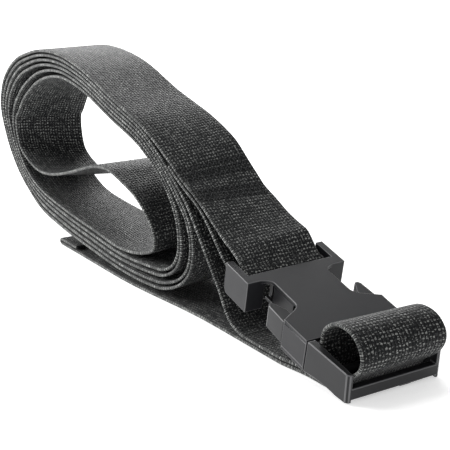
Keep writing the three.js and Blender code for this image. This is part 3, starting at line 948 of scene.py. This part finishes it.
@dataclass
class Route:
    """The strap's whole route in the side view."""

    buckle: BuckleFrame = field(default_factory=BuckleFrame)
    half_thickness: float = 0.8
    feed_height: float = 2.95
    coil_break: float = -74.0
    tail_end: float = -262.0
    hem_length: float = 21.0
    step: float = 1.25
    coil_split_x: float = -108.0
    tail_split_x: float = -112.0
    around: tuple[Station, ...] = (
        Station((-138, 69.9), (-0.6, -0.8), (0, 4.1, 6.15, 8.2, 10.25, 12.3)),
        Station((-158, 80.5), (-0.42, -0.91), PRESSED),
        Station((-188, 90), (-0.25, -0.97), PRESSED),
        Station((-222, 100.2), (-0.16, -0.99), (0, 2.05, 4.1, 6.15, 8.25, 10.4)),
        Station((-252, 104.4), (0, -1), (0, 2.2, 4.6, 7, 9.3, 12.2)),
        Station((-281, 103.1), (0.17, -0.985), (0, 2.4, 5, 7.8, 12, 16.4)),
        Station((-309, 95.2), (0.45, -0.89), (0, 2.8, 5.8, 9.3, 16.3, 21.6)),
        Station((-331.2, 79), (0.78, -0.62), (0, 3.4, 7.2, 11, 18.5, 24.3)),
        Station((-339.3, 62.9), (1, -0.05), (0, 3.6, 7.6, 11.8, 19.6, 24.2)),
        Station((-335.3, 48.3), (0.96, 0.28), (0, 3.1, 6.4, 9.8, 14.6, 19.4)),
        Station((-326.6, 35.1), (0.85, 0.53), (0, 2.6, 5.4, 8.2, 11.4, 15.2)),
        Station((-313.3, 23.6), (0.62, 0.78), (0, 2.3, 4.7, 7.1, 9.6)),
        Station((-293, 14.6), (0.35, 0.94), (0, 2.2, 4.5, 6.8, 9.1)),
        Station((-258, 9.6), (0.13, 0.99), (0, 2.2, 4.6, 6.8, 9.2)),
        Station((-218, 6.9), (0.08, 1), (0, 2.3, 4.9, 7.2, 9.8)),
        Station((-186, 5.2), (0.03, 1), (0, 2.4, 5.1, 7.5, 10.2)),
        Station((-160, 4.8), (0, 1), (0, 2.7, 6, 8.7, 12)),
    )
    right: tuple[Station, ...] = (
        Station((-146, 6), (-0.15, 0.99), (0, 2.8, 6.4, 9.2)),
        Station((-132.5, 11.8), (-0.66, 0.75), (0, 2.6, 8, 10.6)),
        Station((-123.5, 21.8), (-0.9, 0.43), (0, 2.4, 9.6, 12)),
        Station((-120.3, 33.3), (-1, 0.05), (0, 2.3, 10.4, 12.7)),
        Station((-123.2, 45), (-0.93, -0.37), (0, 2.2, 8.8, 11)),
        Station((-131, 54.4), (-0.78, -0.63), (0, 2.1, 5.4, 7.5)),
    )
    sewn_end: tuple[tuple[float, float], ...] = (
        (-137.4, 66.7),
        (-132, 62.4),
        (-127, 58.7),
        (-119.2, 53.2),
        (-110.5, 48),
        (-103, 41.6),
        (-96, 35),
        (-89, 29.6),
        (-82, 27.6),
    )
    top_ply: tuple[tuple[float, float], ...] = (
        (-84, 38.5),
        (-91, 41.3),
        (-99, 45),
        (-108, 50.1),
        (-117.5, 55.2),
        (-127.5, 61.9),
    )
    inner_strip: tuple[tuple[float, float], ...] = (
        (-300.5, 36.2),
        (-287.5, 33.6),
        (-272, 34.9),
        (-251, 40.2),
        (-231, 46.5),
        (-214.7, 51.2),
        (-196, 53.3),
        (-182.6, 50.3),
        (-170.5, 45.9),
        (-160, 38.2),
        (-154.6, 30),
        (-155.6, 23.2),
        (-165, 18.4),
    )
    lower_ply: tuple[tuple[float, float], ...] = (
        (-133.2, 60),
        (-126.5, 53.6),
        (-120, 46.3),
        (-113.6, 37.8),
        (-107.2, 28.8),
        (-100.8, 20.2),
        (-94, 12.4),
        (-86.6, 6.2),
        (-79, 3.4),
        (-74, 2.95),
    )
    loop: tuple[tuple[float, float], ...] = (
        (-28.5, 3.05),
        (-23.7, 4.1),
        (-20.7, 7.4),
        (-19.5, 12.4),
        (-19.2, 18),
        (-16.1, 23.7),
        (-10.7, 27.2),
        (-4.9, 28.1),
        (1.4, 26.8),
        (5.6, 22.9),
        (6.4, 18.4),
        (4.2, 14),
        (0.4, 10.9),
        (-4, 8.2),
        (-6.6, 5.6),
        (-7.8, 3),
        (-10.8, 1.4),
        (-16, 0.88),
        (-24, 0.8),
        (-34, 0.8),
    )

    def lanes(self, ply: int) -> list[tuple[float, float]]:
        """One ply round the coil, from the top right over the left end and back along the bottom."""
        return [station.lane(ply) for station in self.around]

    def bend(self, ply: int) -> list[tuple[float, float]]:
        """One right-hand bend, from the bottom upwards."""
        return [station.lane(ply) for station in self.right]

    def coil(self) -> np.ndarray:
        """The wound strap from its sewn end to the run under the buckle, evenly sampled."""
        points = [
            *self.sewn_end,
            *(self.buckle.wrap(a) for a in (265, 315, 0, 40, 80)),
            *self.top_ply,
            *self.lanes(0),
            *self.bend(0),
            *self.lanes(2),
            *self.bend(2),
            *self.lanes(4)[:-1],
            *self.inner_strip[::-1],
            *[station.lane(5) for station in self.around[7:11]][::-1],
            *[station.lane(5) for station in self.around[:7]][::-1],
            *self.bend(3)[::-1],
            *self.lanes(3)[::-1],
            *self.bend(1)[::-1],
            *self.lanes(1)[::-1],
            *self.lower_ply,
        ]
        return SmoothLine(np.array(points, float)).sampled(self.step)

    def tail(self) -> np.ndarray:
        """The tail on the ground from under the buckle to its folded end, evenly sampled."""
        low = self.half_thickness
        high = low + 2 * self.half_thickness + 0.5
        end = self.tail_end
        points = [
            (self.coil_break, low),
            (-120, low),
            (-180, low),
            (-236, low),
            (end + 5, low),
            (end + 2.2, low + 0.04),
            (end + 1.1, low + 0.4),
            (end + 0.8, (low + high) / 2),
            (end + 1.1, high - 0.3),
            (end + 2.2, high),
            (end + 5, high),
            (end + self.hem_length, high),
        ]
        return SmoothLine(np.array(points, float)).sampled(0.6)

    def adjuster(self) -> np.ndarray:
        """From under the buckle's rear round the adjuster's bars and back to the tail."""
        low = self.half_thickness
        feed = self.feed_height
        points = [
            (self.coil_break, feed),
            (-54, feed - 0.1),
            (-34, feed),
            *self.loop,
            (-54, low),
            (self.coil_break, low),
        ]
        return SmoothLine(np.array(points, float)).sampled(0.8)


@dataclass
class WoundWebbing:
    """The whole webbing: the coil, the runs under the buckle, the adjuster loop and the tail."""

    route: Route = field(default_factory=Route)
    finish: WebbingFinish = field(default_factory=WebbingFinish)
    bands: tuple[float, ...] = (-112.6, -115.2, -117.8, -125.4, -128.0, -130.6)

    def build(self) -> list[bpy.types.Object]:
        """Builds and dresses every length of the webbing.

        Returns:
            The pieces.
        """
        route = self.route
        material = self.finish.build()
        coil = route.coil()
        run = run_length(coil)
        split = int(np.argmax((run > run[-1] - 90) & (coil[:, 0] > route.coil_split_x)))
        twist = CoilTwist()
        tail = route.tail()
        tail_split = int(np.argmax(tail[:, 0] < route.tail_split_x))
        adjuster = route.adjuster()
        start_loop = run[-1]
        start_tail = start_loop + run_length(adjuster)[-1]
        tail_run = run_length(tail)
        wound = Ribbon("wound_webbing", coil[: split + 1], twist, bands=self.bands, band_runs=(60, 170))
        run_upper = Ribbon("run_under_buckle", coil[split:], twist, start_run=run[split])
        loop = Ribbon("adjuster_webbing", adjuster, LoopTurn(), start_run=start_loop)
        run_lower = Ribbon("tail_under_buckle", tail[: tail_split + 1], twist, start_run=start_tail)
        start_end = start_tail + tail_run[tail_split]
        end = Ribbon("tail_webbing", tail[tail_split:], twist, start_run=start_end)
        made = []
        for ribbon in (wound, run_upper, loop, run_lower, end):
            piece = ribbon.build()
            piece.data.materials.append(material)
            made.append(piece)
        self.join_to_bodies(made)
        return made

    def join_to_bodies(self, pieces: list[bpy.types.Object]) -> None:
        """Lets the wound coil and the tail follow the coil's body, bakes the transforms of the other
        lengths, and hides the CAD webbing pieces.
        """
        wound, run_upper, loop, run_lower, end = pieces
        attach(wound, "strap_coil")
        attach(end, "strap_coil")
        place = self.in_frame
        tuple(place(-106, 26))
        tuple(place(-76, 4))
        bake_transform(run_upper)
        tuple(place(-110, 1))
        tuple(place(-76, 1))
        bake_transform(run_lower)
        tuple(place(-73, 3))
        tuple(place(-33, 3))
        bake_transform(loop)
        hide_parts("webbing_coil")
        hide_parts("webbing_tail")
        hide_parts("webbing_adjuster_loop", "webbing_feed_upper", "webbing_feed_lower")

    @staticmethod
    def in_frame(x: float, z: float) -> tuple[float, float, float]:
        """A point of the side view as metres in the shared frame."""
        point = (np.array([x, 0.0, z]) + FRAME_SHIFT) * MILLIMETRE
        return tuple(float(v) for v in point)


@dataclass
class Stitching:
    """The rows of thread that hold the strap's end and the tail's hem."""

    route: Route = field(default_factory=Route)
    finish: ThreadFinish = field(default_factory=ThreadFinish)
    end_rows: tuple[float, ...] = (-112.6, -115.2, -117.8, -125.4, -128.0, -130.6)
    hem_rows: tuple[float, ...] = (-244.0, -249.0)

    def build(self) -> list[bpy.types.Object]:
        """Builds and dresses every row.

        Returns:
            The rows.
        """
        material = self.finish.build()
        coil = self.route.coil()
        first = int(np.argmax(coil[:, 0] > -78.0))
        top = coil[first : first + 120]
        peak = int(np.argmax(top[:, 0]))
        top = top[peak:]
        top = top[top[:, 1] > self.route.buckle.wrap(0)[1]]
        rows = []
        for number, x in enumerate(self.end_rows, 1):
            z = float(np.interp(-x, -top[:, 0], top[:, 1]))
            ahead = float(np.interp(-x - 1.0, -top[:, 0], top[:, 1]))
            slope = math.atan2(z - ahead, -1.0) + math.pi
            rows.append(ThreadRow(f"end_thread_{number}", np.array([x, z]), slope, CoilTwist()))
        hem_height = 3 * self.route.half_thickness + 0.5
        for number, x in enumerate(self.hem_rows, 1):
            rows.append(ThreadRow(f"hem_thread_{number}", np.array([x, hem_height]), 0.0, CoilTwist()))
        made = []
        for row in rows:
            piece = row.build()
            piece.data.materials.append(material)
            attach(piece, "strap_coil")
            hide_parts(piece.name.replace("thread", "stitch"))
            made.append(piece)
        log.info("stitching: %d rows", len(made))
        return made


@dataclass(frozen=True)
class Moulding:
    """A moulded piece of the buckle: its CAD node with merged faces and rounded edges."""

    node: str
    body: str
    slot: str
    edge_radius: float = 0.25
    edge_steps: int = 3
    sharp_degrees: float = 28.0

    def build(self, material: bpy.types.Material, rim: bpy.types.Material) -> bpy.types.Object:
        """Makes a merged copy of the node and rounds its edges, which take a lighter finish as a
        painted edge highlight.

        Args:
            material: The piece's finish.
            rim: The lighter finish of its rounded edges, a painted edge highlight.

        Returns:
            The piece that stands for the node.
        """
        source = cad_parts[self.node]
        mesh = source.data.copy()
        mesh.name = self.node + "_moulded"
        mesh.materials.clear()
        work = bmesh.new()
        work.from_mesh(mesh)
        bmesh.ops.remove_doubles(work, verts=work.verts, dist=2e-6)
        bmesh.ops.dissolve_limit(
            work, angle_limit=math.radians(0.6), verts=work.verts, edges=work.edges
        )
        work.to_mesh(mesh)
        work.free()
        mesh.materials.append(material)
        mesh.materials.append(rim)
        made = bpy.data.objects.new(self.node + "_moulded", mesh)
        bpy.context.scene.collection.objects.link(made)
        bevel = made.modifiers.new("rounded edges", "BEVEL")
        bevel.width = self.edge_radius * MILLIMETRE
        bevel.segments = self.edge_steps
        bevel.limit_method = "ANGLE"
        bevel.angle_limit = math.radians(self.sharp_degrees)
        bevel.use_clamp_overlap = False
        # The rounded edges take the lighter second finish: a painted edge highlight.
        bevel.material = 1
        flat = made.modifiers.new("flat faces", "WEIGHTED_NORMAL")
        flat.mode = "FACE_AREA"
        flat.weight = 100
        flat.keep_sharp = True
        mesh.shade_smooth()
        mesh.set_sharp_from_angle(angle=math.radians(40.0))
        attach(made, self.body)
        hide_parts(self.node)
        return made


@dataclass
class Buckle:
    """The side-release buckle: socket, plug with its adjuster frame, and two release arms."""

    socket_finish: PlasticFinish = field(default_factory=lambda: PlasticFinish("socket_plastic"))
    plug_finish: PlasticFinish = field(
        default_factory=lambda: PlasticFinish("plug_plastic", (0.011, 0.0112, 0.0125))
    )
    # Lighter finish of the rounded edges: a painted edge highlight.
    rim_highlight_finish: PlasticFinish = field(
        default_factory=lambda: PlasticFinish("rubbed_edge", (0.1, 0.1, 0.104), 0.5, 0.3)
    )
    socket: Moulding = Moulding("socket_housing", "socket", "socket_plastic")
    plug: Moulding = Moulding("plug_frame", "plug", "plug_plastic", 0.4)
    arms: tuple[Moulding, ...] = (
        Moulding("release_arm_near", "arm_near", "plug_plastic", 0.3),
        Moulding("release_arm_far", "arm_far", "plug_plastic", 0.3),
    )

    def build(self) -> list[bpy.types.Object]:
        """Builds and dresses the buckle's mouldings.

        Returns:
            The pieces.
        """
        socket_material = self.socket_finish.build()
        plug_material = self.plug_finish.build()
        rim = self.rim_highlight_finish.build()
        made = [self.socket.build(socket_material, rim)]
        made += [moulding.build(plug_material, rim) for moulding in (self.plug, *self.arms)]
        for piece in made:
            log.info("%s: %d faces before rounding", piece.name, len(piece.data.polygons))
        return made


# ------------------------------------------------------------------ studio


@dataclass(frozen=True)
class SoftLight:
    """A large soft light aimed at the strap."""

    name: str
    place: tuple[float, float, float]
    size: float
    power: float
    colour: tuple[float, float, float] = (1.0, 1.0, 1.0)
    target: tuple[float, float, float] = (0.0, 0.0, 0.04)

    def build(self) -> None:
        """Adds the light to the scene."""
        data = bpy.data.lights.new(self.name, "AREA")
        data.shape = "DISK"
        data.size = self.size
        data.energy = self.power
        data.color = self.colour
        light = bpy.data.objects.new(self.name, data)
        light.location = self.place
        aim = Vector(self.target) - Vector(self.place)
        light.rotation_euler = aim.to_track_quat("-Z", "Y").to_euler()
        bpy.context.scene.collection.objects.link(light)


@dataclass(frozen=True)
class Studio:
    """The pale floor, the soft lights and the camera."""

    azimuth: float = 60.9
    elevation: float = 16.0
    roll: float = -3.0
    distance: float = 678.2
    target: tuple[float, float, float] = (-236.7, 63.1, 0.0)
    lens: float = 96.0
    floor_half: float = 6.0
    world_strength: float = 0.5
    floor_glow: float = 0.5
    lights: tuple[SoftLight, ...] = (
        SoftLight("back", (-1.3, 0.72, 0.62), 0.9, 11.0),
        SoftLight("overhead", (-0.3, -0.1, 1.4), 0.6, 6.0),
        SoftLight("near_left", (-0.95, -0.75, 0.5), 0.7, 20.0),
    )

    def build(self) -> None:
        """Adds the floor, lights, world and camera."""
        self.add_floor()
        for light in self.lights:
            light.build()
        world = bpy.data.worlds.new("studio")
        world.use_nodes = True
        background = world.node_tree.nodes["Background"]
        background.inputs["Color"].default_value = (1.0, 1.0, 1.0, 1.0)
        background.inputs["Strength"].default_value = self.world_strength
        bpy.context.scene.world = world
        bpy.context.scene.view_settings.view_transform = "Standard"
        self.add_camera()

    def add_floor(self) -> None:
        """Adds the plain pale floor."""
        half = self.floor_half
        mesh = bpy.data.meshes.new("floor")
        corners = [(-half, -half, 0.0), (half, -half, 0.0), (half, half, 0.0), (-half, half, 0.0)]
        mesh.from_pydata(corners, [], [(0, 1, 2, 3)])
        material = bpy.data.materials.new("pale_floor")
        material.use_nodes = True
        shader = material.node_tree.nodes["Principled BSDF"]
        shader.inputs["Base Color"].default_value = (0.93, 0.93, 0.93, 1.0)
        shader.inputs["Roughness"].default_value = 0.9
        shader.inputs["Emission Color"].default_value = (1.0, 1.0, 1.0, 1.0)
        shader.inputs["Emission Strength"].default_value = self.floor_glow
        mesh.materials.append(material)
        floor = bpy.data.objects.new("floor", mesh)
        floor.location = (0.0, 0.0, -0.0002)
        bpy.context.scene.collection.objects.link(floor)

    def add_camera(self) -> None:
        """Adds the camera at its fitted place and turn."""
        az, el, roll = (math.radians(a) for a in (self.azimuth, self.elevation, self.roll))
        looking = Vector((-math.sin(az) * math.cos(el), math.cos(az) * math.cos(el), -math.sin(el)))
        level = looking.cross(Vector((0.0, 0.0, 1.0))).normalized()
        upright = level.cross(looking)
        right = math.cos(roll) * level + math.sin(roll) * upright
        up = -math.sin(roll) * level + math.cos(roll) * upright
        aim = (np.array(self.target) + FRAME_SHIFT) * MILLIMETRE
        eye = Vector(aim) - looking * self.distance * MILLIMETRE
        data = bpy.data.cameras.new("camera")
        data.lens = self.lens
        data.sensor_width = 36.0
        data.clip_start = 0.01
        camera = bpy.data.objects.new("camera", data)
        turn = Matrix((right, up, -looking)).transposed()
        camera.matrix_world = Matrix.Translation(eye) @ turn.to_4x4()
        bpy.context.scene.collection.objects.link(camera)
        bpy.context.scene.camera = camera


def main() -> None:
    """Builds the strap and its studio in order."""
    logging.basicConfig(level=logging.INFO, format="%(name)s: %(message)s")
    WoundWebbing().build()
    Stitching().build()
    Buckle().build()
    Studio().build()


if __name__ == "__main__":
    main()
